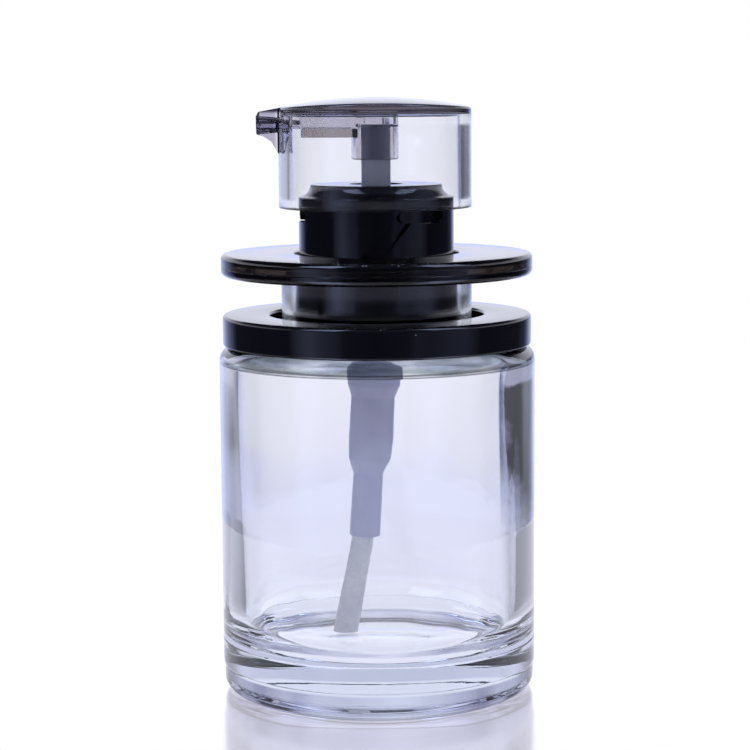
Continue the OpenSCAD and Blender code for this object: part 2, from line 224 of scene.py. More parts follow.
def object_coords(nt):
    return nt.nodes.new("ShaderNodeTexCoord").outputs["Object"]


def coordinate(nt, axis):
    return node(nt, "ShaderNodeSeparateXYZ", Vector=object_coords(nt)).outputs[axis]


def radius_of(nt):
    """How far a point is from the bottle's axis, in metres."""
    flat = node(nt, "ShaderNodeVectorMath", Vector=object_coords(nt))
    flat.operation = "MULTIPLY"
    flat.inputs[1].default_value = (1, 1, 0)
    length = node(nt, "ShaderNodeVectorMath", Vector=flat.outputs[0])
    length.operation = "LENGTH"
    return length.outputs["Value"]


def looks_up(nt):
    """1 on faces that look up, 0 elsewhere."""
    normal = nt.nodes.new("ShaderNodeNewGeometry").outputs["Normal"]
    up = node(nt, "ShaderNodeSeparateXYZ", Vector=normal).outputs["Z"]
    return math_node(nt, "GREATER_THAN", up, 0.6)


def noise_of(nt, scale, detail=3.0, stretch=None):
    coords = object_coords(nt)
    if stretch:
        m = nt.nodes.new("ShaderNodeMapping")
        m.inputs["Scale"].default_value = stretch
        nt.links.new(coords, m.inputs["Vector"])
        coords = m.outputs["Vector"]
    n = node(nt, "ShaderNodeTexNoise", Vector=coords, Scale=scale, Detail=detail)
    return n.outputs["Fac"]


def bump_of(nt, height, distance):
    n = node(nt, "ShaderNodeBump", Height=height, Distance=distance, Strength=1.0)
    return n.outputs["Normal"]


def specks(nt, scale, size, share):
    """1 in small round specks, 0 elsewhere. share is how many of the cells have one."""
    v = node(nt, "ShaderNodeTexVoronoi", Vector=object_coords(nt), Scale=scale)
    inside = math_node(nt, "LESS_THAN", v.outputs["Distance"], size)
    chosen = node(nt, "ShaderNodeSeparateColor", Color=v.outputs["Color"]).outputs["Red"]
    return math_node(nt, "MULTIPLY", inside, math_node(nt, "LESS_THAN", chosen, share))


def rough_range(nt, shader, value, low, high):
    """Roughness between low and high, as value goes from 0 to 1."""
    n = node(nt, "ShaderNodeMapRange", Value=value, To_Min=low, To_Max=high)
    nt.links.new(n.outputs["Result"], shader.inputs["Roughness"])


def see_through(name, ior, roughness, density, passes, ripple=0.0, ripple_scale=300):
    """Clear glass or plastic. density and passes set what its volume absorbs. ripple is in metres."""
    m, nt, s = tree(name)
    s.inputs["Base Color"].default_value = (1, 1, 1, 1)
    s.inputs["Transmission Weight"].default_value = 1
    s.inputs["IOR"].default_value = ior
    rough_range(nt, s, noise_of(nt, 180), roughness[0], roughness[1])
    if ripple:
        nt.links.new(bump_of(nt, noise_of(nt, ripple_scale), ripple), s.inputs["Normal"])
    v = node(nt, "ShaderNodeVolumeAbsorption", Density=density, Color=(*passes, 1))
    nt.links.new(v.outputs[0], nt.nodes["Material Output"].inputs["Volume"])
    return m


def glass_with_painted_shade(material):
    """Painted shade in the heel of the glass, darker to the left and right, and a painted shade band of dark
    streaks round its shoulder, with a dark line at its lower edge.
    """
    nt = material.node_tree
    height = coordinate(nt, "Z")
    above = rising(nt, height, 3.1 * MM, 3.3 * MM)
    under = math_node(nt, "LESS_THAN", radius_of(nt), 15.5 * MM)
    clear = math_node(nt, "MAXIMUM", above, under)
    # painted shade: dark mottled patches in the outer ring of the heel
    heel_shade_mottle = noise_of(nt, 110, 4.0, (1, 1, 0.25))
    heel_shade_mottle = ramp(nt, heel_shade_mottle, [(0.42, (0.12, 0.12, 0.21)), (0.6, (0.8, 0.8, 0.93))])
    # 0 on the axis and 1 at 20 mm to the left or right
    side_shade = math_node(nt, "MULTIPLY", math_node(nt, "ABSOLUTE", coordinate(nt, "X")), 50)
    # painted shade: the heel darker to the left and right than in the middle
    side_shade = ramp(
        nt,
        side_shade,
        [
            (0.35, (0.75, 0.76, 0.86)),
            (0.5, (0.3, 0.3, 0.45)),
            (0.62, (0.12, 0.12, 0.2)),
            (1.0, (0.2, 0.2, 0.33)),
        ],
    )
    heel_shade = mixed(nt, clear, mixed(nt, 0.65, heel_shade_mottle, side_shade), (1, 1, 1, 1))
    # painted shade: a dark line from 41 to 41.2 mm high, and dark grey-green streaks round the shoulder above
    # it
    rise = rising(nt, height, 41 * MM, 42 * MM)
    line = ramp(nt, rise, [(0.0, 1.0), (0.04, 0.1), (0.2, 0.12), (0.26, 1.0)])
    shoulder_shade_streaks = noise_of(nt, 90, 3.0, (1, 1, 9))
    shoulder_shade_streaks = ramp(nt, shoulder_shade_streaks, [(0.38, (0.16, 0.19, 0.2)), (0.5, (0.4, 0.45, 0.46)), (0.62, 1.0)])
    band = ramp(nt, rise, [(0.15, 0.0), (0.2, 1.0)])
    shoulder = mixed(nt, band, line, shoulder_shade_streaks)
    colour = mixed(nt, 1.0, heel_shade, shoulder, "MULTIPLY")
    nt.links.new(colour, nt.nodes["Principled BSDF"].inputs["Base Color"])


def dusty(material, colour, share, lowest):
    """Small specks of dust on the faces that look up from above that height, over a see-through colour."""
    nt = material.node_tree
    shader = nt.nodes["Principled BSDF"]
    high = math_node(nt, "GREATER_THAN", coordinate(nt, "Z"), lowest * MM)
    dust = math_node(nt, "MULTIPLY", looks_up(nt), high)
    dust = math_node(nt, "MULTIPLY", specks(nt, 2400, 0.2, share), dust)
    nt.links.new(mixed(nt, dust, colour, (0.3, 0.31, 0.35, 1)), shader.inputs["Base Color"])
    nt.links.new(math_node(nt, "SUBTRACT", 1.0, dust), shader.inputs["Transmission Weight"])


def actuator_plastic():
    """Smoky plastic, darker in the crown and the spout than in the thin skirt, with painted shade as a dark
    line along the skirt's bottom rim.
    """
    m = see_through("actuator_plastic", 1.57, (0.005, 0.03), 24, (0.5, 0.45, 0.5), 0.000003, 500)
    nt = m.node_tree
    height = rising(nt, coordinate(nt, "Z"), SKIRT_Z * MM, (SKIRT_Z + 12) * MM)
    # painted shade: a dark line from 60 to 60.2 mm high along the skirt's bottom rim
    stops = [(0.0, 0.12), (0.015, 0.12), (0.03, 1.0), (0.955, 1.0), (0.985, (0.07, 0.06, 0.075))]
    tint = ramp(nt, height, stops)
    along = rising(nt, coordinate(nt, "X"), -12.2 * MM, -11.7 * MM)
    spout = ramp(nt, along, [(0.0, (0.5, 0.47, 0.56)), (1.0, 1.0)])
    tint = mixed(nt, 1.0, tint, spout, "MULTIPLY")
    out = rising(nt, radius_of(nt), 10.3 * MM, 10.4 * MM)
    core = ramp(nt, out, [(0.0, (0.78, 0.77, 0.81)), (1.0, 1.0)])
    tint = mixed(nt, 1.0, tint, core, "MULTIPLY")
    dusty(m, tint, 0.1, CROWN_Z)
    return m


def black_plastic():
    """Polished black, with dust on top and a few specks all over."""
    m, nt, s = tree("black_plastic")
    dust = math_node(nt, "MULTIPLY", specks(nt, 2600, 0.2, 0.4), looks_up(nt))
    dust = math_node(nt, "MAXIMUM", dust, specks(nt, 900, 0.07, 0.1))
    colour = mixed(nt, dust, (0.003, 0.003, 0.005, 1), (0.16, 0.17, 0.2, 1))
    nt.links.new(colour, s.inputs["Base Color"])
    s.inputs["IOR"].default_value = 1.5
    rough_range(nt, s, noise_of(nt, 250), 0.02, 0.06)
    nt.links.new(bump_of(nt, noise_of(nt, 900, stretch=(1, 1, 0.15)), 0.0000015), s.inputs["Normal"])
    return m


def dull_plastic(name, colour, roughness, passes=0.0, bump=0.00002, scale=700):
    """Milky moulded plastic with a fine uneven surface. passes is the share of light it lets through."""
    m, nt, s = tree(name)
    darker = tuple(c * 0.94 for c in colour)
    lighter = tuple(min(1, c * 1.05) for c in colour)
    spread = ramp(nt, noise_of(nt, scale / 3), [(0.35, darker), (0.65, lighter)])
    nt.links.new(spread, s.inputs["Base Color"])
    s.inputs["Transmission Weight"].default_value = passes
    s.inputs["IOR"].default_value = 1.5
    rough_range(nt, s, noise_of(nt, scale), roughness[0], roughness[1])
    nt.links.new(bump_of(nt, noise_of(nt, scale), bump), s.inputs["Normal"])
    return m


def metal(name, colour, roughness):
    m, nt, s = tree(name)
    s.inputs["Base Color"].default_value = (*colour, 1)
    s.inputs["Metallic"].default_value = 1
    rough_range(nt, s, noise_of(nt, 1500), roughness[0], roughness[1])
    nt.links.new(bump_of(nt, noise_of(nt, 2500), 0.000004), s.inputs["Normal"])
    return m


GLASS = see_through("clear_glass", 1.52, (0.0, 0.01), 14, (0.63, 0.7, 0.78), 0.000006, 260)
glass_with_painted_shade(GLASS)
BLACK = black_plastic()
SMOKED = see_through("smoked_plastic", 1.57, (0.02, 0.06), 2200, (0.36, 0.3, 0.24))
dusty(SMOKED, (1, 1, 1, 1), 0.35, 54)
CLEAR = see_through("clear_plastic", 1.57, (0.03, 0.1), 60, (0.4, 0.5, 0.5), 0.000004, 800)
ACTUATOR = actuator_plastic()
PUMP = dull_plastic("pump_plastic", (0.58, 0.6, 0.8), (0.3, 0.42))
WHITE = dull_plastic("white_plastic", (0.8, 0.8, 0.8), (0.3, 0.4))
STEM = dull_plastic("stem_plastic", (0.43, 0.46, 0.6), (0.25, 0.35), 0.15)
TUBE = dull_plastic("tube_plastic", (0.88, 0.89, 0.98), (0.2, 0.35), 0.08)
FOAM = dull_plastic("gasket_foam", (0.75, 0.75, 0.72), (0.8, 0.9), bump=0.00006, scale=2500)
BAR = see_through("bar_plastic", 1.57, (0.1, 0.2), 1000, (0.7, 0.67, 0.66))
BALL = metal("steel_ball", (0.6, 0.61, 0.63), (0.08, 0.14))
SPRING = metal("spring_steel", (0.55, 0.55, 0.58), (0.18, 0.26))


# ---------------------------------------------------------------- glass bottle


def glass_wave(r, z, a):
    """The inner wall of blown glass is never true: it waves round and up, and stands off centre."""
    if not 12.7 < r < CAVITY_R + 0.1 or not FLOOR_Z - 0.1 < z < CEILING_Z + 0.1:
        return r, z
    p = Vector((math.cos(a) * 1.6, math.sin(a) * 1.6, z / 30))
    fine = Vector((math.cos(a) * 6, math.sin(a) * 6, z / 60))
    w = 0.22 * noise.noise(p) + 0.05 * noise.noise(fine + Vector((7, 3, 1)))
    off_centre = 0.18 * min(1, max(0, (z - 12) / 20))
    w -= off_centre * math.cos(a)
    return r + w * min(1, (z - FLOOR_Z) / 4, (CEILING_Z - z) / 3 + 0.15), z


def glass_bottle():
    """One turned solid: foot, wall, shoulder and beaded neck outside, and inside a floor with a low hump."""
    hump, hump_r, hump_arc = 0.5, 8.0, 64.2
    body = rounded(
        [
            (0, 1.05, 0),
            (13.9, 0.95, 1.2),
            (15.6, 0.0, 0.5),
            (19.32, 0.0, 1.7),
            (19.36, 3.5, 0),
            (BODY_R, 3.62, 0.1),
            (BODY_R, 6.55, 0.05),
            (BODY_R - 0.06, 6.66, 0),
            (BODY_R, 6.8, 0.05),
            (BODY_R, SHOULDER_Z, 1.7),
            (NECK_R, SHOULDER_Z, 0.5),
            (NECK_R, BEAD_Z - 0.45, 0.1),
            (NECK_R + 0.45, BEAD_Z, 0.3),
            (NECK_R, BEAD_Z + 0.45, 0.1),
            (NECK_R, NECK_Z, 0.4),
            (NECK_BORE, NECK_Z, 0.4),
            (NECK_BORE, CEILING_Z, 1.0),
            (CAVITY_R, CEILING_Z, 1.1),
            (CAVITY_R, FLOOR_Z, 4.0),
            (hump_r, FLOOR_Z + 0.05, 0),
        ],
        9,
    )
    outline = split(body, 1.2)
    while outline[-1][0] < hump_r - 1e-6:
        outline.pop()
    start = 90 - math.degrees(math.asin(hump_r / hump_arc))
    rise = arc(0, FLOOR_Z + hump - hump_arc, hump_arc, start, 90, 8)
    outline += rise[1:-1] + [(0, FLOOR_Z + hump)]
    bm = bmesh.new()
    lathe(bm, outline, shift=glass_wave)
    return place(made("glass_bottle_body", bm, GLASS, 40), "bottle", "clear_glass", "glass_bottle")


glass_bottle()


# ---------------------------------------------------------------- black collar, sleeve cap


def turned(name, corners, material, body, slot, nodes):
    """A finished turned piece, from corners of (r, z, radius)."""
    bm = lathe(bmesh.new(), split(rounded(corners), 60))
    return place(made(name, bm, material), body, slot, *nodes)


turned(
    "shoulder_collar_ring",
    [
        (7.6, COLLAR_LOW, 0.1),
        (COLLAR_R, COLLAR_LOW, 0.35),
        (COLLAR_R, COLLAR_HIGH, 0.45),
        (13.2, COLLAR_HIGH, 0.35),
        (13.2, 44.2, 0.2),
        (7.6, 44.2, 0.1),
    ],
    BLACK,
    "bottle",
    "black_plastic",
    ["shoulder_collar"],
)

turned(
    "sleeve_cap_disc",
    [
        (3.2, 62.0, 0.1),
        (3.2, 62.9, 0.25),
        (8.1, 62.9, 0.12),
        *[(x, z, 0) for x, z in arc(9.6, 62.9, 1.5, 186, 262, 10)],
        (SLEEVE_R, 61.38, 0.12),
        (SLEEVE_R, SLEEVE_TOP, 0.25),
        (7.4, SLEEVE_TOP, 0.1),
        (7.4, 62.0, 0.3),
    ],
    BLACK,
    "lift_sleeve",
    "black_plastic",
    ["sleeve_cap"],
)

turned(
    "clear_sleeve_tube",
    [(10.5, 44.4, 0.1), (11.75, 44.4, 0.15), (11.75, RING_LOW, 0.1), (10.5, RING_LOW, 0.1)],
    CLEAR,
    "turn_ring",
    "clear_plastic",
    ["clear_sleeve"],
)


# ---------------------------------------------------------------- solids


def temp(bm):
    """An unnamed object from bm, for combining."""
    bmesh.ops.recalc_face_normals(bm, faces=bm.faces)
    mesh = bpy.data.meshes.new("temp")
    bm.to_mesh(mesh)
    bm.free()
    obj = bpy.data.objects.new("temp", mesh)
    scene.collection.objects.link(obj)
    return obj


def combined(first, *steps):
    """Unites, cuts or intersects solids in turn. Each step is (operation, bmesh)."""
    base = temp(first)
    for operation, bm in steps:
        other = temp(bm)
        cut = base.modifiers.new("cut", "BOOLEAN")
        cut.operation, cut.solver, cut.object = operation, "EXACT", other
        bpy.context.view_layer.update()
        evaluated = base.evaluated_get(bpy.context.evaluated_depsgraph_get())
        mesh = bpy.data.meshes.new_from_object(evaluated)
        base.modifiers.clear()
        base.data = mesh
        bpy.data.objects.remove(other)
    out = bmesh.new()
    out.from_mesh(base.data)
    bpy.data.objects.remove(base)
    bmesh.ops.remove_doubles(out, verts=out.verts, dist=0.0000005)
    return out


def turned_solid(corners, longest=60, segments=None, shift=None):
    """A turned solid for combining, from corners of (r, z, radius)."""
    return lathe(bmesh.new(), split(rounded(corners), longest), segments, shift)


def rod(radius, start, end, segments=48):
    """A cylinder between two points, in millimetres."""
    bm = bmesh.new()
    a, b = Vector(start) * MM, Vector(end) * MM
    turn = (b - a).to_track_quat("Z", "Y").to_matrix().to_4x4()
    bmesh.ops.create_cone(
        bm,
        cap_ends=True,
        segments=segments,
        radius1=radius * MM,
        radius2=radius * MM,
        depth=(b - a).length,
        matrix=Matrix.Translation((a + b) / 2) @ turn,
    )
    return bm


def prism(outline, low, high, axes="xyz"):
    """An outline pushed from low to high. axes says which way its two axes and the push point."""
    bm = bmesh.new()
    ends = []
    for level in (low, high):
        ring = []
        for u, v in outline:
            p = dict(zip(axes, (u, v, level)))
            ring.append(bm.verts.new(Vector((p["x"], p["y"], p["z"])) * MM))
        ends.append(ring)
    bm.faces.new(ends[0][::-1])
    bm.faces.new(ends[1])
    n = len(outline)
    for k in range(n):
        j = (k + 1) % n
        bm.faces.new((ends[0][k], ends[0][j], ends[1][j], ends[1][k]))
    return bm


def block(x0, x1, y0, y1, z0, z1, r=0.0):
    return prism(rounded([(x0, z0, r), (x1, z0, r), (x1, z1, r), (x0, z1, r)]), y0, y1, "xzy")


def moved(bm, matrix):
    bmesh.ops.transform(bm, matrix=matrix, verts=bm.verts)
    return bm


def about_z(degrees):
    return Matrix.Rotation(math.radians(degrees), 4, "Z")


def spoke(degrees, radius):
    """The level point at that angle and distance from the axis, in millimetres."""
    a = math.radians(degrees)
    return Vector((radius * math.cos(a), radius * math.sin(a), 0))


def up(z):
    """The point at height z on the axis, in millimetres."""
    return Vector((0, 0, z))


def along_x(x):
    """A move of x millimetres to the right."""
    return Matrix.Translation((x * MM, 0, 0))


LEAN = (
    Matrix.Translation(up(LEAN_Z) * MM)
    @ Matrix.Rotation(math.radians(LEAN_DEG), 4, "Y")
    @ Matrix.Translation(up(-LEAN_Z) * MM)
)
THIRDS = (0, 120, 240)


# ---------------------------------------------------------------- fixed closure and pump


def snap_closure():
    """The inner closure, with the three pegs that stand in the guide sleeve's slots."""
    shell = turned_solid(
        [
            (7.8, 44.2, 0.1),
            (8.75, 44.2, 0.1),
            (8.75, 60.2, 0.2),
            (7.8, 60.2, 0.15),
            (7.8, 58.0, 0.25),
            (3.3, 58.0, 0.15),
            (3.3, 56.8, 0.1),
            (7.8, 56.8, 0.05),
        ]
    )
    steps = []
    for third in THIRDS:
        out = spoke(PEG_DEG - 90 + third, 1)
        steps.append(("UNION", rod(PEG_R, out * 8.2 + up(PEG_Z), out * 9.42 + up(PEG_Z))))
    bm = combined(shell, *steps)
    return place(made("snap_closure_shell", bm, BLACK), "bottle", "black_plastic", "snap_closure")


def pump_housing():
    """The upright barrel, and the leaning waist and tail that hold the inlet and the dip tube."""
    barrel = turned_solid(
        [
            (0, 38.8, 0),
            (BARREL_R, 38.8, 0.12),
            (BARREL_R, 54.4, 0.1),
            (7.2, 54.4, 0.1),
            (7.2, 55.6, 0.1),
            (0, 55.6, 0),
        ]
    )
    lower = turned_solid(
        [
            (0, 19.1, 0),
            (2.0, 19.1, 0.12),
            (1.97, 26.9, 0.5),
            (2.7, 28.7, 0.5),
            (2.86, 31.5, 4),
            (2.78, 36.6, 0.8),
            (3.3, 38.2, 0.4),
            (3.35, 39.4, 0),
            (0, 39.4, 0),
        ]
    )
    valve = [(0, 37.7), (0.8, 37.7), (0.8, 39.7), (1.7, 40.6), (1.7, 42.8), (0, 42.8)]
    bm = combined(
        barrel,
        ("UNION", moved(lower, LEAN)),
        ("DIFFERENCE", rod(BARREL_BORE, up(42.5), up(62))),
        ("DIFFERENCE", turned_solid([(r, z, 0) for r, z in valve])),
        ("DIFFERENCE", moved(rod(TUBE_BORE, up(23.6), up(38.5)), LEAN)),
        ("DIFFERENCE", moved(rod(TUBE_R, up(18), up(24.6)), LEAN)),
    )
    moved(bm, along_x(PUMP_SHIFT))
    return place(made("pump_housing_body", bm, PUMP), "bottle", "pump_plastic", "pump_housing")


def tube_centre(t):
    """A point of the dip tube's centre line and its lean, t from 0 at the top to 1 at the end."""
    lean, turn = math.radians(LEAN_DEG), math.radians(8)
    inside, bend, free = 5.5, TUBE_BEND_R * turn, 10.4
    along = t * (inside + bend + free) - inside
    mouth = Vector((-22.4 * math.sin(lean), LEAN_Z - 22.4 * math.cos(lean)))
    centre = mouth + TUBE_BEND_R * Vector((-math.cos(lean), math.sin(lean)))
    a = lean + min(bend, max(0, along)) / TUBE_BEND_R
    straight = min(0, along) + max(0, along - bend)
    p = centre + TUBE_BEND_R * Vector((math.cos(a), -math.sin(a)))
    p += straight * Vector((-math.sin(a), -math.cos(a)))
    p.x += PUMP_SHIFT - 0.24 * min(1, max(0, (along + 4) / 4))
    return p, a


def dip_tube():
    """A tube along its centre line, cut level at the end. Its last few rings turn to make the cut."""
    rings, sides, turning = 40, 40, 4
    bm = bmesh.new()
    loops = []
    for radius in (TUBE_R, TUBE_BORE):
        for i in range(rings + 1):
            p, a = tube_centre(i / rings)
            loop = []
            for j in range(sides):
                b = 2 * math.pi * j / sides
                u, v = radius * math.cos(b), radius * math.sin(b)
                level = max(0, (i - rings + turning) / turning)
                x, z = p.x + u * math.cos(a), p.y - u * math.sin(a)
                z += level * u * math.sin(a)
                x += level * u * (1 / math.cos(a) - math.cos(a))
                loop.append(bm.verts.new((x * MM, v * MM, z * MM)))
            loops.append(loop)
    outer, inner = loops[: rings + 1], loops[rings + 1 :]
    chain = outer + inner[::-1]
    for a, b in zip(chain, chain[1:] + chain[:1]):
        for j in range(sides):
            k = (j + 1) % sides
            bm.faces.new((a[j], a[k], b[k], b[j]))
    return place(made("dip_tube_pipe", bm, TUBE), "bottle", "tube_plastic", "dip_tube")


def pump_spring():
    """The spring's wire. Its end turns lie close together."""
    turns, wire, low, high = 5.5, 0.2, 43.1, 50.1
    steps, sides = int(48 * turns), 12
    mean_r = 2
    dead, pitch = 0.75 / turns, 2 * wire / (high - low) * turns

    def rise(t):
        if t < dead:
            return t * pitch
        if t > 1 - dead:
            return 1 - (1 - t) * pitch
        return dead * pitch + (t - dead) / (1 - 2 * dead) * (1 - 2 * dead * pitch)

    bm = bmesh.new()
    loops = []
    for i in range(steps + 1):
        t = i / steps
        a = 2 * math.pi * turns * t
        z = low + (high - low) * rise(t)
        loop = []
        for j in range(sides):
            b = 2 * math.pi * j / sides
            r = mean_r + wire * math.cos(b)
            p = Vector((r * math.cos(a), r * math.sin(a), z + wire * math.sin(b)))
            loop.append(bm.verts.new(p * MM))
        loops.append(loop)
    for a, b in zip(loops, loops[1:]):
        for j in range(sides):
            k = (j + 1) % sides
            bm.faces.new((a[j], a[k], b[k], b[j]))
    bm.faces.new(loops[0])
    bm.faces.new(loops[-1][::-1])
    obj = place(made("pump_spring_wire", bm, SPRING, 50), "bottle", "spring_steel", "pump_spring")
    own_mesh(obj)
    return obj


def pump_stem():
    """The hollow stem, with four ports near its foot that the piston covers."""
    body = turned_solid(
        [
            (STEM_BORE, 50.8, 0.05),
            (1.3, 50.8, 0.05),
            (1.3, 54.5, 0.05),
            (STEM_R, 54.5, 0.1),
            (STEM_R, STEM_TOP, 0.25),
            (STEM_BORE, STEM_TOP, 0.1),
        ],
        segments=96,
    )
    ports = []
    port = up(51.45)
    for way in (Vector((3, 0, 0)), Vector((0, 3, 0))):
        ports.append(("DIFFERENCE", rod(0.25, port - way, port + way, 24)))
    bm = combined(body, *ports)
    return place(made("pump_stem_tube", bm, STEM), "plunger", "stem_plastic", "pump_stem")


def small_parts():
    """The turned pieces of the pump: its guide, cage, piston, pin, gasket and ball."""
    turned(
        "stem_guide_insert",
        [
            (1.88, 54.6, 0.05),
            (2.72, 54.6, 0.1),
            (2.72, 55.6, 0.05),
            (7.0, 55.6, 0.1),
            (7.0, 56.6, 0.1),
            (2.9, 56.6, 0.2),
            (2.9, 58.6, 0.3),
            (1.88, 58.6, 0.15),
        ],
        WHITE,
        "bottle",
        "white_plastic",
        ["stem_guide"],
    )
    cage = turned_solid(
        [(0.75, 42.5, 0.05), (2.72, 42.5, 0.08), (2.72, 42.9, 0.08), (0.75, 42.9, 0.05)],
        segments=96,
    )
    holes = []
    for third in THIRDS:
        p = spoke(third, 1.2)
        holes.append(("DIFFERENCE", rod(0.35, p + up(42), p + up(43.5), 24)))
    place(made("ball_cage_disc", combined(cage, *holes), WHITE), "bottle", "white_plastic", "ball_cage")
    turned(
        "piston_seal",
        [
            (1.33, 50.85, 0.05),
            (STEM_R, 50.85, 0.1),
            (STEM_R, 52.7, 0.15),
            (2.3, 52.7, 0.1),
            (2.3, 51.6, 0.15),
            (2.7, 51.6, 0.15),
            (2.7, 53.5, 0.15),
            (2.3, 53.5, 0.15),
            (2.3, 53.3, 0.05),
            (STEM_R, 53.3, 0.1),
            (STEM_R, 53.5, 0.1),
            (1.33, 53.5, 0.1),
        ],
        WHITE,
        "seal",
        "white_plastic",
        ["piston"],
    )
    turned(
        "plunger_pin_plug",
        [
            (0, 49.0, 0),
            (1.1, 49.0, 0.4),
            (1.1, 50.3, 0.1),
            (2.3, 50.3, 0.1),
            (2.3, 50.8, 0.1),
            (0.9, 50.8, 0.05),
            (0.9, 51.15, 0.1),
            (0, 51.15, 0),
        ],
        WHITE,
        "plunger",
        "white_plastic",
        ["plunger_pin"],
    )
    turned(
        "neck_gasket_washer",
        [(3.6, 53.6, 0.15), (7.2, 53.6, 0.2), (7.2, 54.4, 0.2), (3.6, 54.4, 0.15)],
        FOAM,
        "bottle",
        "gasket_foam",
        ["neck_gasket"],
    )
    ball = bmesh.new()
    bmesh.ops.create_icosphere(ball, subdivisions=4, radius=1.25 * MM)
    bmesh.ops.translate(ball, verts=ball.verts, vec=(0, 0, 40.7 * MM))
    place(made("inlet_ball_bead", ball, BALL, 80), "ball", "steel_ball", "inlet_ball")


# ---------------------------------------------------------------- guide sleeve, ring


def guide_sleeve():
    """The black sleeve with its sloping slots, each with a level pocket at its top."""
    bm = turned_solid(
        [
            (SLEEVE_BORE, 44.5, 0.1),
            (10.07, 44.5, 0.25),
            (10.07, 54.0, 0.18),
            (SLEEVE_R, 54.0, 0.1),
            (SLEEVE_R, SLEEVE_TOP, 0.12),
            (SLEEVE_BORE, SLEEVE_TOP, 0.05),
        ]
    )
    per_degree = SLEEVE_R * math.pi / 180
    half = per_degree * 15.4 / 2
    pocket_deg = 50.5
    high, low, mid = 60.1, PEG_Z - LIFT - 1.1, PEG_Z - LIFT / 2
    pocket_mid = (PEG_DEG + pocket_deg) / 2
    pocket = SLEEVE_R * math.sin(math.radians(pocket_deg - pocket_mid))

    def across(z):
        return (z - mid) * per_degree * LOCK_TURN / LIFT

    slope = rounded(
        [
            (across(low) - half, low, 0.35),
            (across(low) + half, low, 0.35),
            (across(high) + half, high, 0),
            (across(high) - half, high, 0),
        ]
    )
    ledge = rounded(
        [(-pocket, 58.36, 0), (pocket + 1, 58.36, 1.0), (pocket + 1, high, 0), (-pocket, high, 0)]
    )
    steps = []
    for third in THIRDS:
        for at, outline in ((PEG_DEG - LOCK_TURN / 2, slope), (pocket_mid, ledge)):
            cut = prism(outline, 8, 11, "yzx")
            steps.append(("DIFFERENCE", moved(cut, about_z(at + third - 90))))
        keyway = prism([(-0.7, 43.5), (0.7, 43.5), (0.7, 53), (-0.7, 53)], 9.7, 11, "yzx")
        steps.append(("DIFFERENCE", moved(keyway, about_z(PEG_DEG + 60 + third - 90))))
    bm = combined(bm, *steps)

    def on_the_outside(v):
        near = abs(v.co.xy.length - SLEEVE_R * MM) < 0.03 * MM
        return near and 52 * MM < v.co.z < (high + 0.05) * MM

    lips = []
    for e in bm.edges:
        sharp = len(e.link_faces) == 2 and e.calc_face_angle(0) > math.radians(50)
        if sharp and all(on_the_outside(v) for v in e.verts):
            lips.append(e)
    bmesh.ops.bevel(bm, geom=lips, offset=0.07 * MM, segments=2, affect="EDGES", clamp_overlap=True)
    return place(made("guide_sleeve_body", bm, BLACK), "lift_sleeve", "black_plastic", "guide_sleeve")


def ring_shells():
    """The ring's upper shell, hollow below with eight bosses, and its base plate with three keys."""
    top = turned_solid(
        [
            (RING_BORE, RING_SEAM, 0.05),
            (11.25, RING_SEAM, 0.1),
            (11.25, 53.5, 0.15),
            (18.2, 53.5, 0.15),
            (18.2, RING_SEAM, 0.1),
            (RING_R, RING_SEAM, 0.08),
            (RING_R, RING_HIGH, 0.62),
            (RING_BORE, RING_HIGH, 0.2),
        ]
    )
    steps = []
    for i in range(8):
        p = spoke(45 * i - 13 - 90, 17.3)
        steps.append(("UNION", rod(0.5, p + up(RING_SEAM + 0.01), p + up(53.7), 32)))
    shell = made("ring_top", combined(top, *steps), SMOKED)
    place(shell, "turn_ring", "smoked_plastic", "ring_top_shell")
    base = turned_solid(
        [
            (RING_BORE, RING_LOW, 0.1),
            (RING_R, RING_LOW, 0.75),
            (RING_R, RING_SEAM - 0.02, 0.06),
            (RING_BORE, RING_SEAM - 0.02, 0.05),
        ]
    )
    steps = []
    for third in THIRDS:
        key = prism([(-0.6, 51.75), (0.6, 51.75), (0.6, 52.75), (-0.6, 52.75)], 9.8, 10.4, "yzx")
        steps.append(("UNION", moved(key, about_z(PEG_DEG + 60 + third - 90))))
    plate = made("ring_base", combined(base, *steps), SMOKED)
    place(plate, "turn_ring", "smoked_plastic", "ring_base_plate")


# ---------------------------------------------------------------- actuator


def crown_height(r, z, a):
    """Gives points at the crown's height its true shape, bent along the spout and less across it."""
    along_r, across_r, peak = 58, 107, 73.4
    if z > 72:
        x, y = r * math.cos(a), r * math.sin(a)
        ridge = across_r - along_r + math.sqrt(along_r**2 - x * x)
        z += peak - across_r + math.sqrt(ridge**2 - y * y) - CROWN_Z
    return r, z


def beak_mouth():
    """The hollow of the spout, which widens towards its tip."""
    bm = bmesh.new()
    bmesh.ops.create_cone(
        bm,
        cap_ends=True,
        segments=48,
        radius1=0.7 * MM,
        radius2=1.2 * MM,
        depth=6.0 * MM,
        matrix=Matrix.Translation(Vector((-12.0, 0, 70.1)) * MM) @ Matrix.Rotation(math.radians(-90), 4, "Y"),
    )
    return bm


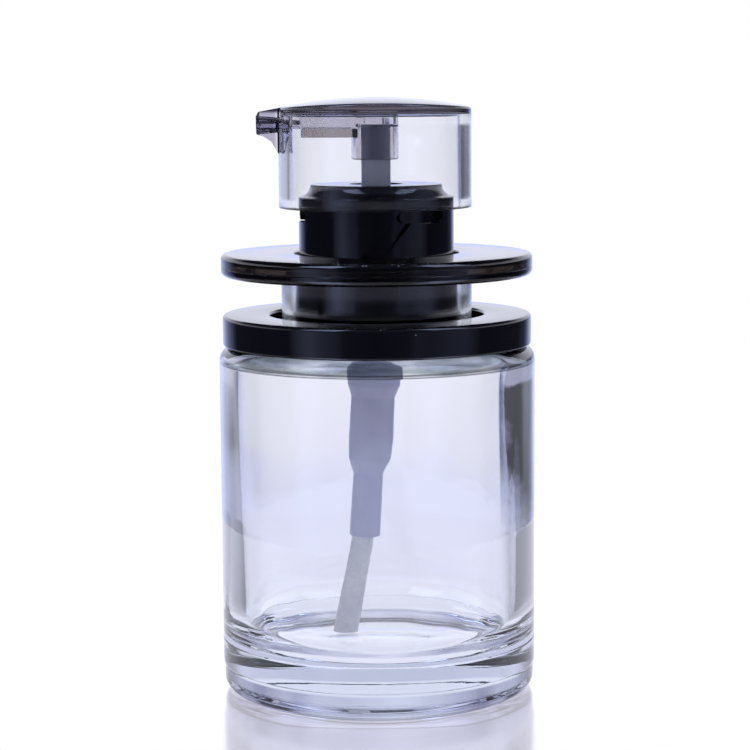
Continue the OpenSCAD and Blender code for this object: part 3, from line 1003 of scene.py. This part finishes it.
def actuator_cap():
    """Crown and skirt, the spout, the rib that holds the channel, and the socket for the stem."""
    shell = turned_solid(
        [
            (0, CROWN_Z, 0),
            (SKIRT_R, CROWN_Z, 0.3),
            (SKIRT_R, SKIRT_Z, 0.06),
            (10.6, SKIRT_Z, 0.06),
            (10.52, 71.65, 0.35),
            (0, 71.65, 0),
        ],
        longest=1.5,
        shift=crown_height,
    )
    side = rounded(
        [
            (-10.85, 72.35, 0),
            (-14.2, 71.75, 0.35),
            (-14.55, 71.2, 0.3),
            (-14.5, 69.0, 0.25),
            (-13.6, 68.75, 0.4),
            (-12.6, 68.1, 0.8),
            (-11.8, 66.7, 0.3),
            (-10.85, 66.4, 0),
        ]
    )
    plan = rounded([(-14.7, -1.5, 1.3), (-10.85, -2.3, 0), (-10.85, 2.3, 0), (-14.7, 1.5, 1.3)])
    beak = combined(prism(side, -2.4, 2.4, "xzy"), ("INTERSECT", prism(plan, 60, 80)))
    rib = block(-10.9, -2.0, -1.7, 1.7, 69.65, 71.75)
    socket_r, seat_r = 2.88, STEM_R + 0.03
    socket = turned_solid(
        [(0, 65.9, 0), (socket_r, 65.9, 0.2), (socket_r, 71.8, 0), (0, 71.8, 0)],
        segments=96,
    )
    bore = [
        (0, 65),
        (2.45, 65),
        (2.4, 69.9),
        (seat_r, 70.0),
        (seat_r, 70.3),
        (1.3, 70.3),
        (1.3, 71.2),
        (0, 71.2),
    ]
    bm = combined(
        shell,
        ("UNION", beak),
        ("UNION", rib),
        ("UNION", socket),
        ("DIFFERENCE", turned_solid([(r, z, 0) for r, z in bore], segments=96)),
        ("DIFFERENCE", block(-9.2, 0, -0.8, 0.8, 68.6, 71.2)),
        ("DIFFERENCE", beak_mouth()),
    )
    moved(bm, along_x(ACTUATOR_SHIFT))
    return place(made("actuator_body", bm, ACTUATOR, 35), "actuator", "actuator_plastic", "actuator_cap")


def channel_bar():
    """The bar that closes the channel from below, with a tongue that stands in the channel."""
    bar = block(-8.95, -2.75, -1.68, 1.68, 68.6, 69.62, 0.12)
    bm = combined(bar, ("UNION", block(-8.9, -2.9, -0.76, 0.76, 69.4, 69.85, 0.05)))
    moved(bm, along_x(ACTUATOR_SHIFT))
    return place(made("channel_bar_strip", bm, BAR), "actuator", "smoked_plastic", "channel_bar")


snap_closure()
pump_housing()
dip_tube()
pump_spring()
pump_stem()
small_parts()
guide_sleeve()
ring_shells()
actuator_cap()
channel_bar()


# ---------------------------------------------------------------- studio


# How bright the surroundings are to a ray that was mirrored inside a clear wall, by its direction in
# degrees: 0 is straight behind the bottle and 90 is to its right.
EDGES = [
    (-180, 0.02),
    (-64, 0.02),
    (-50, 0.3),
    (-42, 0.42),
    (-37, 0.28),
    (-30, 0.25),
    (-25, 0.38),
    (-13, 0.56),
    (-6, 0.46),
    (4, 0.3),
    (10, 0.2),
    (20, 0.16),
    (27, 0.13),
    (34, 0.09),
    (50, 0.08),
    (64, 0.02),
    (180, 0.02),
]


# The same for rays nearer level, which come from the actuator's skirt.
SKIRT_EDGES = [
    (-180, 0.02),
    (-56, 0.02),
    (-44, 0.32),
    (-38, 0.55),
    (-28, 0.65),
    (-10, 0.6),
    (0, 0.75),
    (5, 0.4),
    (9, 0.14),
    (14, 0.2),
    (24, 0.2),
    (30, 0.26),
    (38, 0.14),
    (50, 0.1),
    (60, 0.02),
    (180, 0.02),
]


def by_degrees(nt, x, y, stops):
    """A ramp over the direction of (x, y), with stops given in degrees."""
    turn = math_node(nt, "ARCTAN2", x, y)
    turn = math_node(nt, "MULTIPLY_ADD", turn, 1 / (2 * math.pi), 0.5)
    return ramp(nt, turn, [((d + 180) / 360, v) for d, v in stops])


def studio_floor():
    """A small sheet of glossy white acrylic."""
    floor_r = 0.12
    bm = bmesh.new()
    bmesh.ops.create_circle(bm, cap_ends=True, segments=128, radius=floor_r)
    bmesh.ops.translate(bm, verts=bm.verts, vec=(0, 0, -0.00002))
    m = bpy.data.materials.new("studio_floor")
    m.use_nodes = True
    nt = m.node_tree
    nt.nodes.remove(nt.nodes["Principled BSDF"])
    path = nt.nodes.new("ShaderNodeLightPath")
    away = math_node(nt, "MULTIPLY", radius_of(nt), 1 / floor_r)
    seen = ramp(nt, away, [(0.3, (0.86, 0.88, 1.04)), (0.6, (0.8, 0.82, 1.0)), (1.0, (0.8, 0.82, 1.02))])
    edge = by_degrees(nt, coordinate(nt, "X"), coordinate(nt, "Y"), EDGES)
    bounced = math_node(nt, "GREATER_THAN", path.outputs["Glossy Depth"], 0.5)
    once = math_node(nt, "COMPARE", path.outputs["Transmission Depth"], 2.0, 0.5)
    far = rising(nt, away, 0.3, 0.5, 0.8)
    edge = mixed(nt, 1.0, edge, (0.9, 0.95, 1.2, 1), "MULTIPLY")
    share = math_node(nt, "MULTIPLY", math_node(nt, "MULTIPLY", bounced, once), far)
    through = node(nt, "ShaderNodeEmission", Color=mixed(nt, share, seen, edge), Strength=1.0)
    glow = node(nt, "ShaderNodeEmission", Color=(0.38, 0.37, 0.42, 1), Strength=1.0)
    gloss = node(nt, "ShaderNodeBsdfGlossy", Color=(0.6, 0.6, 0.6, 1), Roughness=0.14)
    direct = node(nt, "ShaderNodeAddShader")
    nt.links.new(glow.outputs[0], direct.inputs[0])
    nt.links.new(gloss.outputs[0], direct.inputs[1])
    both = node(nt, "ShaderNodeMixShader")
    nt.links.new(path.outputs["Is Transmission Ray"], both.inputs[0])
    nt.links.new(direct.outputs[0], both.inputs[1])
    nt.links.new(through.outputs[0], both.inputs[2])
    nt.links.new(both.outputs[0], nt.nodes["Material Output"].inputs["Surface"])
    floor = made("studio_floor", bm, m)


def studio_world():
    """A white sweep behind, a soft box at each side of the camera and dark between them."""
    w = bpy.data.worlds.new("studio")
    scene.world = w
    w.use_nodes = True
    w.cycles.sampling_method = "NONE"
    nt = w.node_tree
    out = nt.nodes["Background"]
    generated = nt.nodes.new("ShaderNodeTexCoord").outputs["Generated"]
    way = node(nt, "ShaderNodeSeparateXYZ", Vector=generated)
    level = way.outputs["Z"]

    def around(stops):
        return by_degrees(nt, way.outputs["X"], way.outputs["Y"], stops)

    def pick(*values):
        return mixed(nt, *values)

    def step(low, high):
        return rising(nt, level, low, high)

    mirrored = around(
        [
            (-180, 0.03),
            (-156, 0.06),
            (-151, 0.2),
            (-140, 0.35),
            (-131, 0.6),
            (-126, 0.55),
            (-118, 0.3),
            (-112, 0.04),
            (-52, 0.035),
            (-47, 0.18),
            (-43, 0.34),
            (-34, 0.57),
            (-28, 0.85),
            (-21, 1.0),
            (20, 0.95),
            (27, 0.62),
            (33, 0.3),
            (38, 0.11),
            (46, 0.08),
            (50, 0.035),
            (98, 0.035),
            (102, 0.12),
            (112, 0.28),
            (126, 0.25),
            (140, 0.14),
            (152, 0.17),
            (157, 0.06),
            (180, 0.03),
        ]
    )
    mirrored = pick(1.0, mirrored, (0.78, 0.88, 1.45, 1), "MULTIPLY")
    behind = around([(-180, 0.05), (-125, 0.05), (-95, 1.0), (95, 1.0), (125, 0.05), (180, 0.05)])
    behind = pick(1.0, behind, (1.1, 1.12, 1.3, 1), "MULTIPLY")
    above = around(
        [
            (-180, 0.1),
            (-152, 0.2),
            (-147, 3.5),
            (-120, 3.5),
            (-115, 0.05),
            (100, 0.05),
            (106, 3.0),
            (134, 3.0),
            (139, 0.2),
            (180, 0.1),
        ]
    )
    above = pick(1.0, above, (0.75, 0.88, 1.4, 1), "MULTIPLY")
    above = pick(step(0.88, 0.94), above, (0.05, 0.055, 0.08, 1))
    behind = pick(step(0.3, 0.5), behind, above)
    mirrored = pick(step(0.02, 0.08), mirrored, behind)
    bands = [(-180, 1.0), (180, 1.0)]
    for centre, half in ((-148, 6), (-119, 6), (-49, 4), (31.5, 6), (61, 6), (119, 6), (148, 6)):
        edges = ((-half - 4, 1.0), (-half, 0.07), (half, 0.07), (half + 4, 1.0))
        bands += [(centre + offset, v) for offset, v in edges]
    passed = around(sorted(bands))
    passed = pick(step(-0.185, -0.15), (1, 1, 1, 1), passed)
    glow = ramp(
        nt,
        math_node(nt, "MULTIPLY_ADD", level, 2.5, 1.0),
        [
            (0.5, (0.81, 0.83, 1.04)),
            (0.575, (0.82, 0.84, 1.05)),
            (0.618, (0.92, 0.93, 1.08)),
            (0.66, (0.96, 0.96, 1.1)),
            (0.725, (0.99, 1.0, 1.12)),
            (1.0, (0.99, 1.0, 1.12)),
        ],
    )
    passed = pick(1.0, passed, glow, "MULTIPLY")
    passed = pick(step(0.15, 0.3), passed, (0.08, 0.085, 0.11, 1))
    path = nt.nodes.new("ShaderNodeLightPath")
    scattered = math_node(nt, "GREATER_THAN", path.outputs["Diffuse Depth"], 0.5)
    bounced = math_node(nt, "GREATER_THAN", path.outputs["Glossy Depth"], 0.5)
    once = math_node(nt, "COMPARE", path.outputs["Transmission Depth"], 2.0, 0.5)
    inside = around(
        [(-180, 0.35), (-120, 0.12), (-70, 0.1), (-50, 0.9), (50, 0.9), (70, 0.1), (120, 0.12), (180, 0.35)]
    )
    lowest = pick(0.6, around(EDGES), (0.62, 0.62, 0.72, 1))
    low = pick(step(-0.18, -0.16), lowest, around(EDGES))
    edges = pick(step(-0.14, -0.08), low, around(SKIRT_EDGES))
    inside = pick(step(0.0, 0.03), edges, inside)
    inside = pick(1.0, inside, (0.95, 0.98, 1.15, 1), "MULTIPLY")
    colour = pick(bounced, passed, pick(once, mirrored, inside))
    colour = pick(scattered, colour, (0.85, 0.88, 1.0, 1))
    colour = pick(path.outputs["Is Camera Ray"], colour, (1, 1, 1, 1))
    nt.links.new(colour, out.inputs["Color"])


def studio_camera():
    """The camera stands 290 mm in front, looks down 7 degrees and is rolled by 0.4 of a degree."""
    pitch, roll, distance = 0.1251, 0.0067, 292.55
    aim = Vector((-0.28, 0, 39.138)) * MM
    forward = Vector((0, math.cos(pitch), -math.sin(pitch)))
    up = Vector((0, math.sin(pitch), math.cos(pitch)))
    side = Vector((1, 0, 0))
    right = side * math.cos(roll) - up * math.sin(roll)
    top = side * math.sin(roll) + up * math.cos(roll)
    data = bpy.data.cameras.new("camera")
    data.sensor_width = 36
    data.lens = 113.07
    data.clip_start = 0.01
    cam = bpy.data.objects.new("camera", data)
    scene.collection.objects.link(cam)
    turn = Matrix((right, top, -forward)).transposed()
    cam.matrix_world = Matrix.Translation(aim - forward * distance * MM) @ turn.to_4x4()
    scene.camera = cam


studio_floor()
studio_world()
studio_camera()
scene.view_settings.view_transform = "Standard"
scene.cycles.max_bounces = 24
scene.cycles.transmission_bounces = 24
scene.cycles.glossy_bounces = 8
